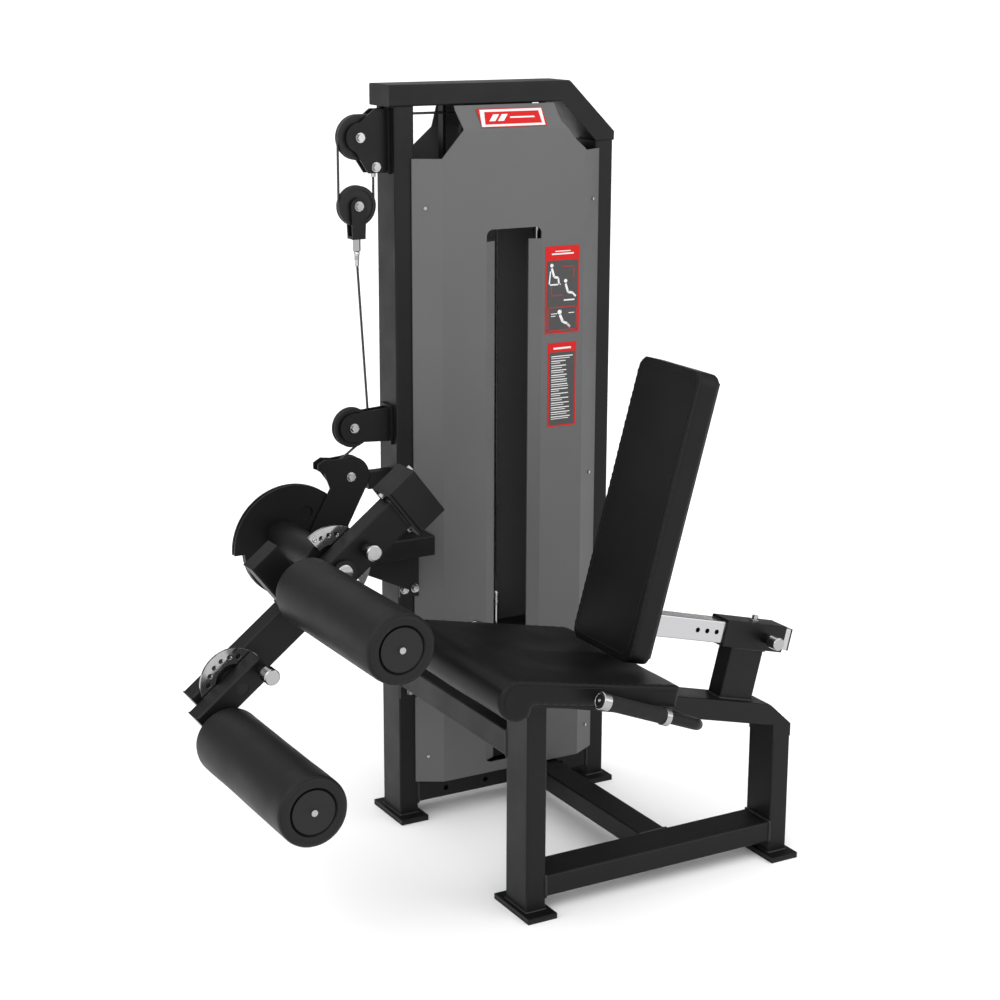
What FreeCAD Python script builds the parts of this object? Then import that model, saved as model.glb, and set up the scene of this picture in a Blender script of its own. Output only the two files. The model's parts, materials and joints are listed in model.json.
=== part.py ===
import FreeCAD, Part
import math
import os

# Seated leg extension machine. The lay-out is drawn on a 1560 mm tall pattern whose origin is the
# front-left corner of the tower's left post on the floor: +X to the backrest, +Y to the stack's far
# side, +Z up. SCALE brings the pattern to the 1650 mm machine when each piece is saved.
V = FreeCAD.Vector
SCALE = 1650.0 / 1560.0
ORIGIN_X = 25.9
ORIGIN_Y = -319.0

# frame tubing
TUBE_W = 43.5
TUBE_D = 82.0
SPAN = 512.8
TOP_Z = 1560.0
BEAM_Z = 1517.0
FOOT_Z = 11.3
PAD_Z = 5.6
SEAT_Y0 = -540.0
SEAT_Y1 = -458.0
SEAT_MID = -499.0
REAR_LEG_X = 580.0
REAR_LEG_X1 = 623.5
RAIL_SLOPE = 0.2535
RAIL_TOP_0 = 482.9
RAIL_H = 44.9
# lever geometry (XZ plane)
AXIS_X = -248.0
AXIS_Z = 664.0
ARM_DEG = 38.0
ARM_Y0 = -260.0
ARM_Y1 = -216.5
ARM_HALF = 35.5
ARM_LOW = -370.0
ARM_HIGH = 158.0
ANKLE_AT = -295.0
PIN_R1 = 63.0
PIN_R2 = 50.4
AXLE_R = 15.0
RUN_FIT = 0.06
PULL_R = 5.0
PIN_HOLE_R = PULL_R + RUN_FIT
ROLLER_R = 65.0
ROLLER_Y0 = -708.0
ROLLER_Y1 = -318.0
UPPER_Y1 = -309.0
UPPER_ROLLER = (-347.0, 655.0)
LOWER_ROLLER = (-517.0, 392.0)
# cable plane
CABLE_Y = 41.0
CABLE_R = 2.5
INNER_C = (213.5, 1457.0)
OUTER_C = (-62.0, 1457.0)
FLOAT_C = (-66.5, 1322.0)
LOWER_C = (-84.0, 871.0)
GUIDE_C = (-93.0, 770.0)
CAM_C = (-223.0, 638.0)
TOP_R = 43.0
FLOAT_R = 38.5
LOW_R = 39.0
CAM_R = 125.5
STACK_X = 256.5
# weight stack
PLATE_PITCH = 26.0
PLATE_T = 25.4
STACK_Z0 = 100.0
LOW_PLATES = 7
TOP_PLATES = 3
ROD_DX = 98.6
ROD_TOP = 1396.0
HEAD_H = 32.0
STEM_TOP = 445.0
# backrest lean
BACK_X = 180.2
BACK_Z = 508.7
BACK_LEN = 569.0
BACK_B1 = (0.265, 0.964)
BACK_HALF = 105.0
POST_BASE_X = 497.0

os.makedirs("parts", exist_ok=True)
arm_c = math.cos(math.radians(ARM_DEG))
arm_s = math.sin(math.radians(ARM_DEG))


pieces = {}


def save(name, *shapes):
    """add solids to a node; write_all() puts every node in its own file"""
    pieces.setdefault(name, []).extend(shapes)


def write_all():
    for name, shapes in pieces.items():
        shape = shapes[0].copy() if len(shapes) == 1 else Part.makeCompound([s.copy() for s in shapes])
        shape.translate(V(-ORIGIN_X, -ORIGIN_Y, 0))
        shape.scale(SCALE, V(0, 0, 0))
        shape.exportStep("parts/%s.step" % name)



def box(x0, x1, y0, y1, z0, z1):
    return Part.makeBox(x1 - x0, y1 - y0, z1 - z0, V(x0, y0, z0))


def cyl_y(x, z, r, y0, y1):
    return Part.makeCylinder(r, y1 - y0, V(x, y0, z), V(0, 1, 0))


def cyl_z(x, y, r, z0, z1):
    return Part.makeCylinder(r, z1 - z0, V(x, y, z0), V(0, 0, 1))


def prism_xz(points, y0, y1):
    ring = [V(p[0], y0, p[1]) for p in points]
    ring.append(ring[0])
    return Part.Face(Part.makePolygon(ring)).extrude(V(0, y1 - y0, 0))


def prism_xy(points, z0, z1):
    ring = [V(p[0], p[1], z0) for p in points]
    ring.append(ring[0])
    return Part.Face(Part.makePolygon(ring)).extrude(V(0, 0, z1 - z0))


def prism_yz(points, x0, x1):
    ring = [V(x0, p[0], p[1]) for p in points]
    ring.append(ring[0])
    return Part.Face(Part.makePolygon(ring)).extrude(V(x1 - x0, 0, 0))


def fused(first, *others):
    out = first
    for other in others:
        out = out.fuse(other)
    return out.removeSplitter()


def soften(shape, radius):
    try:
        out = shape.makeFillet(radius, shape.Edges)
        return out if out.isValid() and out.Volume > 0 else shape
    except Exception:
        return shape


def soften_along(shape, axis, radius):
    edges = []
    for edge in shape.Edges:
        if len(edge.Vertexes) == 2 and edge.Curve.TypeId == "Part::GeomLine":
            run = edge.Vertexes[1].Point - edge.Vertexes[0].Point
            if run.Length > 8 and abs(run.normalize().dot(axis)) > 0.999:
                edges.append(edge)
    try:
        out = shape.makeFillet(radius, edges)
        return out if out.isValid() and out.Volume > 0 else shape
    except Exception:
        return shape


def at_arm(along, across, base=(AXIS_X, AXIS_Z)):
    return (base[0] + along * arm_c - across * arm_s, base[1] + along * arm_s + across * arm_c)


def arm_block(a0, a1, p0, p1, y0, y1):
    return prism_xz([at_arm(a0, p0), at_arm(a1, p0), at_arm(a1, p1), at_arm(a0, p1)], y0, y1)


def hex_bolt_y(x, z, y_face, out, r=8.0):
    """washer and hex head on a face, standing out along out (-1 or +1) in Y"""
    y1 = y_face + out * 2.0
    y2 = y1 + out * 6.0
    washer = cyl_y(x, z, r * 1.25, min(y_face, y1), max(y_face, y1))
    head = prism_xz([(x + r * math.cos(math.radians(60 * i)), z + r * math.sin(math.radians(60 * i)))
                     for i in range(6)], min(y1, y2), max(y1, y2))
    return fused(washer, head)


def rail_top(x):
    return RAIL_TOP_0 - RAIL_SLOPE * x


# ---------------------------------------------------------------- tower frame
long_z = V(0, 0, 1)
long_x = V(1, 0, 0)
long_y = V(0, 1, 0)
left_post = soften_along(box(0, TUBE_W, 0, TUBE_D, FOOT_Z, BEAM_Z), long_z, 4)
left_post = left_post.cut(box(-1, TUBE_W + 1, 33, 49, 1488, 1512))
save("tower_posts", left_post)
RIGHT_X = SPAN - TUBE_W
CORNER_Z = 1434.0
save("tower_posts", soften_along(box(RIGHT_X, SPAN, 0, TUBE_D, FOOT_Z, CORNER_Z), long_z, 4))
beam = prism_xz([(-12.7, BEAM_Z), (-12.7, TOP_Z), (403, TOP_Z), (SPAN, 1453), (SPAN, CORNER_Z),
                 (RIGHT_X, CORNER_Z), (385, BEAM_Z)], -4.3, 86)
save("tower_top_beam", soften_along(beam, long_x, 4))
bar = soften_along(box(TUBE_W, RIGHT_X, 0, TUBE_D, 34, 79), long_x, 4)
for x in (111, 209, 304, 402):
    bar = bar.cut(cyl_y(x, 54, 6, -1, 12))
save("tower_base_bar", bar)

feet = []
pads = []
for cx, cy in ((21.7, 41), (491, 41), (21.7, SEAT_MID), (601.8, SEAT_MID)):
    feet.append(box(cx - 32, cx + 32, cy - 67.5, cy + 67.5, PAD_Z, FOOT_Z))
    pads.append(box(cx - 32, cx + 32, cy - 67.5, cy + 67.5, 0, PAD_Z))
save("foot_plates", *feet)
save("foot_pads", *pads)

# ---------------------------------------------------------------- shroud panels
SHEET = 3.0
PANEL_Z0 = 84.0
SLOT_Z0 = 107.0
SLOT_Z1 = 1267.0
FOLD_Z = 1467.0


def folded(x_l, x_r, y_edge, y_flat, z0, z1, sheet):
    return prism_xy([(x_l, y_edge), (89.6, y_flat), (424.5, y_flat), (x_r, y_edge), (x_r, y_edge + sheet),
                     (424.5, y_flat + sheet), (89.6, y_flat + sheet), (x_l, y_edge + sheet)], z0, z1)


LAP_L = 36.0
LAP_R = 477.0
panel = folded(LAP_L, LAP_R, -3.6, -33, PANEL_Z0, FOLD_Z, SHEET)
strip = prism_yz([(-33, FOLD_Z), (-9, BEAM_Z - 1), (-9 + SHEET, BEAM_Z - 1), (-33 + SHEET, FOLD_Z)], 130, 384)
cut_l = prism_xz([(20, 1600), (128, 1600), (128, 1515), (140, 1470), (90, 1414), (20, 1414)], -60, 20)
cut_r = prism_xz([(500, 1600), (366, 1600), (362, 1515), (369, 1481), (401, 1443), (430, 1419), (500, 1419)],
                 -60, 20)
panel = fused(panel, strip).cut(cut_l).cut(cut_r)
SLOT_HALF = 65.0
slot = box(STACK_X - SLOT_HALF, STACK_X + SLOT_HALF, -60, 20, SLOT_Z0, SLOT_Z1)
slot = soften_along(slot, long_y, 14)
panel = panel.cut(slot)
flanges = []
for side in (-1, 1):
    xo = STACK_X + side * (SLOT_HALF + 0.5)
    xi = STACK_X + side * 40.5
    flanges.append(prism_xy([(xo, -33), (xi, -22), (xi, -22 + SHEET), (xo, -33 + SHEET)], SLOT_Z0 + 6, 1242))
panel = fused(panel, *flanges)
for z0, z1 in ((278, 386), (503, 655)):
    panel = panel.cut(box(30, TUBE_W + 0.1, -20, 5, z0, z1))
save("front_panel", panel)
rear = folded(44, 469, 88, 112, PANEL_Z0, FOLD_Z, SHEET)
rear = fused(rear, prism_yz([(112, FOLD_Z), (88, BEAM_Z - 1), (88 + SHEET, BEAM_Z - 1), (112 + SHEET, FOLD_Z)],
                            130, 384))
rear = rear.cut(prism_xz([(20, 1600), (142, 1600), (142, 1467), (90, 1423), (20, 1423)], 60, 140))
rear = rear.cut(prism_xz([(500, 1600), (369, 1600), (369, 1481), (430, 1419), (500, 1419)], 60, 140))
save("rear_panel", rear)
screws = []
for x, x_post, x_flat in ((59.7, LAP_L, 89.6), (453.4, LAP_R, 424.5)):
    for z in (143, 726, 1316):
        y_skin = -3.6 - 29.4 * (x - x_post) / (x_flat - x_post)
        tilt = V(-29.4 if x < STACK_X else 29.4, -abs(x_flat - x_post), 0).normalize()
        screws.append(Part.makeCylinder(3.6, 3.0, V(x, y_skin, z) + tilt * 0.1, tilt))
save("panel_screws", *screws)
save("placards", soften_along(box(331, 414, -33.8, -33, 1040, 1224), long_y, 5))
save("placards", soften_along(box(339, 408, -33.8, -33, 840, 1020), long_y, 4))
badge = prism_yz([(-31.2, 1472), (-14.6, 1508), (-15.6, 1508.5), (-32.2, 1472.5)], 176, 334)
badge.translate(V(0, 0.4, 0))
save("placards", badge.common(prism_xz([(176, 1509), (182, 1471), (334, 1471), (328, 1509)], -60, 20)))

# ---------------------------------------------------------------- weight stack
rods = [cyl_z(STACK_X + s * ROD_DX, CABLE_Y, 9.5, 79, ROD_TOP) for s in (-1, 1)]
save("guide_rods", *rods)
rod_plate = box(135, 378, 20, 70, ROD_TOP, ROD_TOP + 8).cut(cyl_z(STACK_X, CABLE_Y, 12, 1390, 1410))
save("pulley_brackets", rod_plate, box(135, 141, 50, 70, ROD_TOP + 8, BEAM_Z),
     box(372, 378, 50, 70, ROD_TOP + 8, BEAM_Z))
bumpers = [cyl_z(STACK_X + s * ROD_DX, CABLE_Y, 24, 79, STACK_Z0).cut(
    cyl_z(STACK_X + s * ROD_DX, CABLE_Y, 9.5 + RUN_FIT, 70, 110)) for s in (-1, 1)]
save("stack_bumpers", *bumpers)


def plate(z, height):
    body = soften_along(box(STACK_X - 116, STACK_X + 116, 8, 74, z, z + height), long_z, 5)
    for s in (-1, 1):
        body = body.cut(cyl_z(STACK_X + s * ROD_DX, CABLE_Y, 9.5 + RUN_FIT, z - 1, z + height + 1))
    return body


def cored(z, height, r):
    body = plate(z, height).cut(cyl_z(STACK_X, CABLE_Y, r, z - 1, z + height + 1))
    return body


def slotted(z, height, r):
    hole = cyl_y(STACK_X, z + height / 2, 5.2, 0, CABLE_Y)
    return cored(z, height, r).cut(hole)


low = [slotted(STACK_Z0 + i * PLATE_PITCH, PLATE_T, 12.5) for i in range(LOW_PLATES)]
save("weight_plates_lower", *low)
PIN_ROW = STACK_Z0 + LOW_PLATES * PLATE_PITCH
high = [slotted(PIN_ROW + i * PLATE_PITCH, PLATE_T, 12.0) for i in range(TOP_PLATES)]
save("weight_plates_raised", *high)
HEAD_Z = PIN_ROW + TOP_PLATES * PLATE_PITCH
head = cored(HEAD_Z, HEAD_H, 12.0)
save("weight_plates_raised", head)
STEM_LOW = 112.0
PIN_Z = PIN_ROW + PLATE_T / 2
stem = fused(cyl_z(STACK_X, CABLE_Y, 12.0 - 0.02, STEM_LOW, HEAD_Z + HEAD_H),
             cyl_z(STACK_X, CABLE_Y, 6.0, HEAD_Z + HEAD_H, STEM_TOP))
stem = stem.cut(cyl_y(STACK_X, PIN_Z, 5.2, 20, 60))
for i in range(LOW_PLATES):
    stem = stem.cut(cyl_y(STACK_X, STACK_Z0 + i * PLATE_PITCH + PLATE_T / 2, 5.2, 20, 60)) if i else stem
save("selector_stem", stem)
pin = fused(cyl_y(STACK_X, PIN_Z, 5.0, 0, 50.5), cyl_y(STACK_X, PIN_Z, 11, -22, 0), cyl_y(STACK_X, PIN_Z, 8, 0, 6))
save("selector_pin", pin)

# ---------------------------------------------------------------- pulleys


def pulley(centre, line_r, bore):
    rim = line_r + 2.0
    root = line_r - CABLE_R - 0.1
    half = 7.5
    pts = [(bore, -half), (rim, -half), (rim, -5.4), (root, -2.7), (root, 2.7), (rim, 5.4), (rim, half),
           (bore, half)]
    ring = [V(p[0], p[1], 0) for p in pts]
    ring.append(ring[0])
    disc = Part.Face(Part.makePolygon(ring)).revolve(V(0, 0, 0), V(0, 1, 0), 360)
    for sgn in (-1, 1):
        edge_y = sgn * half
        dish = Part.makeCylinder(rim - 7, 2.5, V(0, min(edge_y, edge_y - sgn * 2.5), 0), V(0, 1, 0))
        boss = Part.makeCylinder(13, 2.5, V(0, min(edge_y, edge_y - sgn * 2.5), 0), V(0, 1, 0))
        disc = disc.cut(dish.cut(boss))
    disc.translate(V(centre[0], CABLE_Y, centre[1]))
    return disc


PIN = 6.0
BORE = PIN + RUN_FIT
save("top_pulley_inner", pulley(INNER_C, TOP_R, BORE))
save("top_pulley_outer", pulley(OUTER_C, TOP_R, BORE))
save("floating_pulley", pulley(FLOAT_C, FLOAT_R, BORE))
save("lower_pulley", pulley(LOWER_C, LOW_R, BORE))
save("guide_pulley", pulley(GUIDE_C, LOW_R, BORE))


def cheek_pair(points, gap=9.0, thick=4.5):
    near = prism_xz(points, CABLE_Y - gap - thick, CABLE_Y - gap)
    far = prism_xz(points, CABLE_Y + gap, CABLE_Y + gap + thick)
    return near, far


def round_top(cx, cz, r, start, stop, steps=14):
    out = []
    for i in range(steps + 1):
        ang = math.radians(start + (stop - start) * i / steps)
        out.append((cx + r * math.cos(ang), cz + r * math.sin(ang)))
    return out


def cross_bolt(x, z, reach=13.5):
    shaft = cyl_y(x, z, PIN, CABLE_Y - reach, CABLE_Y + reach)
    return fused(shaft, hex_bolt_y(x, z, CABLE_Y - reach, -1, 8), hex_bolt_y(x, z, CABLE_Y + reach, 1, 8))


def drilled(shape, *centres):
    for c in centres:
        shape = shape.cut(cyl_y(c[0], c[1], PIN + 0.02, CABLE_Y - 60, CABLE_Y + 60))
    return shape


inner_pts = round_top(INNER_C[0], INNER_C[1], 26, 180, 360) + [(INNER_C[0] + 26, BEAM_Z), (INNER_C[0] - 26, BEAM_Z)]
near, far = cheek_pair(inner_pts)
save("pulley_brackets", drilled(near, INNER_C), drilled(far, INNER_C))
ANCHOR = (-28.0, 1398.0)
outer_pts = round_top(OUTER_C[0], OUTER_C[1], 30, 90, 250) + [(-44, 1386), (-6.02, 1386), (-6.02, 1512), (-30, 1512)]
near, far = cheek_pair(outer_pts)
save("pulley_brackets", drilled(near, OUTER_C, ANCHOR), drilled(far, OUTER_C, ANCHOR),
     box(-6, 0, CABLE_Y - 24, CABLE_Y + 24, 1384, 1484), box(-6, 0, CABLE_Y - 24, CABLE_Y - 9, 1484, 1514),
     box(-6, 0, CABLE_Y + 9, CABLE_Y + 24, 1484, 1514))
lower_pts = round_top(LOWER_C[0], LOWER_C[1], 30, 90, 270) + [(-6.02, 836), (-6.02, 906)]
near, far = cheek_pair(lower_pts)
save("pulley_brackets", drilled(near, LOWER_C), drilled(far, LOWER_C),
     box(-6, 0, CABLE_Y - 24, CABLE_Y + 24, 830, 912))
guide_pts = round_top(GUIDE_C[0], GUIDE_C[1], 42, -30, 105) + [(-128, 809), (-150, 812), (-166, 803), (-166, 790),
                                                             (-152, 783), (-140, 750), (-193, 653), (-108, 653)]
near = prism_xz(guide_pts, CABLE_Y - 13.5, CABLE_Y - 9)
far_pts = round_top(GUIDE_C[0], GUIDE_C[1], 42, -130, 105, 20) + [(-128, 809), (-150, 812), (-166, 803),
                                                                  (-166, 790), (-152, 783)]
far = prism_xz(far_pts, CABLE_Y + 9, CABLE_Y + 13.5)
save("pulley_brackets", drilled(near, GUIDE_C), drilled(far, GUIDE_C), box(-193, -108, -8, CABLE_Y - 9, 641, 653),
     cyl_y(-153, 797, 6, CABLE_Y - 9, CABLE_Y + 9))
save("pulley_brackets", box(-52, 0, CABLE_Y - 12, CABLE_Y + 12, 738, 774).cut(cyl_y(GUIDE_C[0], GUIDE_C[1], 44, 0, 90)),)
save("frame_bolts", cross_bolt(*INNER_C), cross_bolt(*OUTER_C), cross_bolt(*LOWER_C), cross_bolt(*GUIDE_C),
     cross_bolt(*ANCHOR))
yoke_pts = round_top(FLOAT_C[0], FLOAT_C[1], 17, 0, 180) + [(FLOAT_C[0] - 14, 1262), (FLOAT_C[0] + 14, 1262)]
near, far = cheek_pair(yoke_pts)
yoke = fused(near, far, box(FLOAT_C[0] - 14, FLOAT_C[0] + 14, CABLE_Y - 13.5, CABLE_Y + 13.5, 1256, 1262))
save("floating_yoke", drilled(yoke, FLOAT_C))
save("floating_yoke", cross_bolt(*FLOAT_C))
save("floating_yoke", fused(cyl_z(FLOAT_C[0], CABLE_Y, 8, 1232, 1256), cyl_z(FLOAT_C[0], CABLE_Y, 5, 1214, 1232)))

# ---------------------------------------------------------------- cables


def tangent(c1, r1, s1, c2, r2, s2):
    dx, dz = c2[0] - c1[0], c2[1] - c1[1]
    dist = math.hypot(dx, dz)
    k = r2 * s2 - r1 * s1
    theta = math.atan2(dz, dx) - math.asin(k / dist)
    ux, uz = math.sin(theta), -math.cos(theta)
    return (c1[0] + r1 * s1 * ux, c1[1] + r1 * s1 * uz), (c2[0] + r2 * s2 * ux, c2[1] + r2 * s2 * uz)


def vec(p):
    return V(p[0], CABLE_Y, p[1])


def arc(centre, r, start, end, sense):
    a0 = math.atan2(start[1] - centre[1], start[0] - centre[0])
    a1 = math.atan2(end[1] - centre[1], end[0] - centre[0])
    sweep = (a1 - a0) * sense
    while sweep <= 1e-6:
        sweep += 2 * math.pi
    mid = a0 + sense * sweep / 2
    return Part.Arc(vec(start), vec((centre[0] + r * math.cos(mid), centre[1] + r * math.sin(mid))),
                    vec(end)).toShape()


def line(a, b):
    return Part.makeLine(vec(a), vec(b))


def rope(edges):
    wire = Part.Wire(edges)
    start = wire.OrderedVertexes[0].Point
    first = wire.OrderedEdges[0]
    way = first.tangentAt(first.FirstParameter if first.valueAt(first.FirstParameter).isEqual(start, 1e-3)
                          else first.LastParameter)
    ring = Part.Wire(Part.makeCircle(CABLE_R, start, way))
    return wire.makePipeShell([ring], True, True)


stem_top = (STACK_X, STEM_TOP)
inner_in = (STACK_X, INNER_C[1])
save("cable_stack_run", rope([line(stem_top, inner_in)]))
top_in = (INNER_C[0], INNER_C[1] + TOP_R)
top_out = (OUTER_C[0], OUTER_C[1] + TOP_R)
outer_off = (OUTER_C[0] - TOP_R, OUTER_C[1])
save("cable_fixed_run", rope([arc(INNER_C, TOP_R, inner_in, top_in, 1), line(top_in, top_out),
                             arc(OUTER_C, TOP_R, top_out, outer_off, 1)]))
float_in = (FLOAT_C[0] - FLOAT_R, FLOAT_C[1])
float_off = (FLOAT_C[0] + FLOAT_R, FLOAT_C[1])
save("cable_float_runs", rope([line(outer_off, float_in)]))
save("cable_float_loop", rope([arc(FLOAT_C, FLOAT_R, float_in, float_off, 1)]))
save("cable_float_runs", rope([line(float_off, (ANCHOR[0], ANCHOR[1] - 20.3))]))
save("cable_fixed_run", cyl_z(float_off[0], CABLE_Y, 5, ANCHOR[1] - 20, ANCHOR[1] - 8.2))
clevis_end = (FLOAT_C[0], 1213.5)
t1 = tangent(clevis_end, 0, 1, LOWER_C, LOW_R, -1)[1]
save("cable_lever_run", rope([line(clevis_end, t1)]))
t2, t3 = tangent(LOWER_C, LOW_R, -1, GUIDE_C, LOW_R, 1)
t4, t5 = tangent(GUIDE_C, LOW_R, 1, CAM_C, CAM_R, -1)
save("cable_fixed_run", rope([arc(LOWER_C, LOW_R, t1, t2, -1), line(t2, t3), arc(GUIDE_C, LOW_R, t3, t4, 1),
                                line(t4, t5)]))
cam_end = (CAM_C[0] + CAM_R * math.cos(math.radians(-20)), CAM_C[1] + CAM_R * math.sin(math.radians(-20)))
save("cable_cam_wrap", rope([arc(CAM_C, CAM_R, t5, cam_end, -1)]))

# ---------------------------------------------------------------- lever pivot (fixed)
HOUSING_R = 34.0
housing = cyl_y(AXIS_X, AXIS_Z, HOUSING_R, -198, 16).cut(cyl_y(AXIS_X, AXIS_Z, AXLE_R + RUN_FIT, -260, 90))
save("bearing_housing", housing)
arm_beam = soften_along(box(-255, TUBE_W, -TUBE_D, -8, 611, 653), long_x, 4)
arm_beam = arm_beam.cut(cyl_y(AXIS_X, AXIS_Z, HOUSING_R, -120, 30))
arm_beam = arm_beam.cut(box(-194, -107, -8.5, 90, 640, 654))
save("pivot_beam", arm_beam)
save("frame_flanges", box(0, TUBE_W, -8, 0, 505, 653))
save("frame_flanges", prism_xz([(-110, 611), (-110, 586), (0, 534), (0, 611)], -50, -42),
     prism_xz([(4, 611), (4, 545), (39, 545), (39, 611)], -14, -8))
save("frame_bolts", hex_bolt_y(9.5, 522, -8, -1, 7.5), hex_bolt_y(34, 522, -8, -1, 7.5))

# ---------------------------------------------------------------- cam body
axle = cyl_y(AXIS_X, AXIS_Z, AXLE_R, -264, 56)
save("main_axle", axle)
cam = fused(cyl_y(CAM_C[0], CAM_C[1], 128, 33, 49).cut(
    box(-500, CAM_C[0] + 60, 0, 90, 400, CAM_C[1] - 4)).cut(box(-500, 100, 0, 90, 400, CAM_C[1] - 56)),
            cyl_y(CAM_C[0], CAM_C[1], 106, 33, 49), cyl_y(AXIS_X, AXIS_Z, 30, 25, 56))
groove = Part.makeTorus(CAM_R, CABLE_R + 0.15, V(CAM_C[0], CABLE_Y, CAM_C[1]), V(0, 1, 0))
open_band = cyl_y(CAM_C[0], CAM_C[1], 140, CABLE_Y - CABLE_R - 0.15, CABLE_Y + CABLE_R + 0.15).cut(
    cyl_y(CAM_C[0], CAM_C[1], CAM_R, 0, 90))
cam = cam.cut(groove).cut(open_band).cut(cyl_y(AXIS_X, AXIS_Z, AXLE_R + 0.02, 0, 90))
for ang, rr, r in ((115, 78, 16), (65, 74, 14), (160, 78, 16)):
    px = CAM_C[0] + rr * math.cos(math.radians(ang))
    pz = CAM_C[1] + rr * math.sin(math.radians(ang))
    cam = cam if math.hypot(px - AXIS_X, pz - AXIS_Z) < 52 else cam.cut(
        cyl_y(px, pz, r, 33, 37)).cut(cyl_y(px, pz, r, 45, 49))
save("cam_disc", cam)
hub = cyl_y(AXIS_X, AXIS_Z, 56, -209, -199).cut(cyl_y(AXIS_X, AXIS_Z, AXLE_R + 0.02, -260, 90))
save("cam_disc", hub)


def sector(cx, cz, r0, r1, a0, a1, y0, y1, hole_r, holes, hole_size):
    ring = Part.makeCylinder(r1, y1 - y0, V(cx, y0, cz), V(0, 1, 0)).cut(
        Part.makeCylinder(r0, y1 - y0 + 2, V(cx, y0 - 1, cz), V(0, 1, 0)))
    wedge = [(cx, cz)] + round_top(cx, cz, r1 * 1.6, a0, a1, 12)
    ring = ring.common(prism_xz(wedge, y0, y1))
    for a in holes:
        ring = ring.cut(cyl_y(cx + hole_r * math.cos(math.radians(a)), cz + hole_r * math.sin(math.radians(a)),
                              hole_size, y0 - 1, y1 + 1))
    return ring


start_holes = [ARM_DEG + 15 * i for i in range(-5, 6)]
start = sector(AXIS_X, AXIS_Z, 44, 80, ARM_DEG - 92, ARM_DEG + 92, -215.9, -209, PIN_R1, start_holes,
               PIN_HOLE_R)
save("start_sector", start)

# ---------------------------------------------------------------- lever arm body
arm = soften_along(arm_block(ARM_LOW, ARM_HIGH, -ARM_HALF, ARM_HALF, ARM_Y0, ARM_Y1), V(arm_c, 0, arm_s), 4)
arm = arm.cut(cyl_y(AXIS_X, AXIS_Z, AXLE_R + RUN_FIT, -300, -100))
pin1 = at_arm(PIN_R1, 0)
arm = arm.cut(cyl_y(pin1[0], pin1[1], PULL_R + 0.02, -300, -200))
CROSS_A0 = -129.0
CROSS_A1 = -63.0
CROSS_P1 = 135.0
cross = soften_along(arm_block(CROSS_A0, CROSS_A1, ARM_HALF, CROSS_P1, ARM_Y0, ARM_Y1), V(-arm_s, 0, arm_c), 4)
ROLLER_SHAFT_R = 9.0
cross = cross.cut(cyl_y(UPPER_ROLLER[0], UPPER_ROLLER[1], ROLLER_SHAFT_R + 0.02, -300, -200))
save("swing_arm", arm)
save("swing_arm", cross)
save("arm_caps", arm_block(ARM_LOW - 3, ARM_LOW, -ARM_HALF, ARM_HALF, ARM_Y0, ARM_Y1),
     arm_block(CROSS_A0, CROSS_A1, CROSS_P1, CROSS_P1 + 3, ARM_Y0, ARM_Y1))
save("arm_caps", cyl_y(AXIS_X, AXIS_Z, 24, -270, -264.0))
W_Y0 = -273.0
W_Y1 = -203.0
W_HALF = 54.0
flange = arm_block(ARM_HIGH, ARM_HIGH + 6, -W_HALF, W_HALF, W_Y0, W_Y1)
save("counterweight", flange)
block = arm_block(ARM_HIGH + 6.4, ARM_HIGH + 72, -W_HALF, W_HALF, W_Y0, W_Y1)
save("counterweight", soften_along(block, V(-arm_s, 0, arm_c), 3))
way = V(arm_c, 0, arm_s)
bolts = []
for across in (-45.0, 45.0):
    low_p = at_arm(ARM_HIGH, across)
    top_p = at_arm(ARM_HIGH + 72, across)
    for p, d in ((low_p, way * -1), (top_p, way)):
        bolts.append(Part.makeCylinder(8, 6, V(p[0], -238, p[1]), d))
save("counterweight", *bolts)


def pull_pin(x, z, face, reach, stand, knob_r=16.0):
    """knob and rod along Y: the knob starts stand in front of the face, the rod ends reach behind it"""
    rod = cyl_y(x, z, PULL_R, face - stand, face + reach)
    knob = cyl_y(x, z, knob_r, face - stand - 26, face - stand)
    return soften(knob, 3).fuse(rod)


def collar(x, z, face, stand, r=10.0):
    return cyl_y(x, z, r, face - stand + 2, face).cut(cyl_y(x, z, PULL_R + 0.03, face - 30, face + 10))


save("swing_arm", collar(pin1[0], pin1[1], ARM_Y0, 12))
save("start_pin", pull_pin(pin1[0], pin1[1], ARM_Y0, 43.4, 12))

# upper roller on its shaft


def roller_parts(centre, inner, shaft_from, name):
    """inner is the Y of the roller's end toward the lever arm"""
    cx, cz = centre
    shaft = cyl_y(cx, cz, ROLLER_SHAFT_R, ROLLER_Y0 + 14, shaft_from)
    save("upper_roller_shaft" if name == "upper" else "ankle_bar", shaft)
    bore = ROLLER_SHAFT_R + RUN_FIT
    core = cyl_y(cx, cz, 24, ROLLER_Y0 + 16, inner - 1).cut(cyl_y(cx, cz, bore, -900, 0))
    save("%s_roller_hub" % name, core)
    foam = cyl_y(cx, cz, ROLLER_R, ROLLER_Y0, inner).cut(cyl_y(cx, cz, 24, -900, 0))
    foam = foam.cut(cyl_y(cx, cz, 43.5, ROLLER_Y0 - 1, ROLLER_Y0 + 8))
    save("%s_roller_foam" % name, foam)
    cap = cyl_y(cx, cz, 40, ROLLER_Y0 + 2, ROLLER_Y0 + 7.7)
    save("%s_roller_hub" % name, fused(cap, cyl_y(cx, cz, 23.7, ROLLER_Y0 + 7.7, ROLLER_Y0 + 14 - 0.4)))
    save("%s_roller_hub" % name, cyl_y(cx, cz, 6, ROLLER_Y0 - 2, ROLLER_Y0 + 2))


roller_parts(UPPER_ROLLER, UPPER_Y1, ARM_Y1, "upper")

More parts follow.
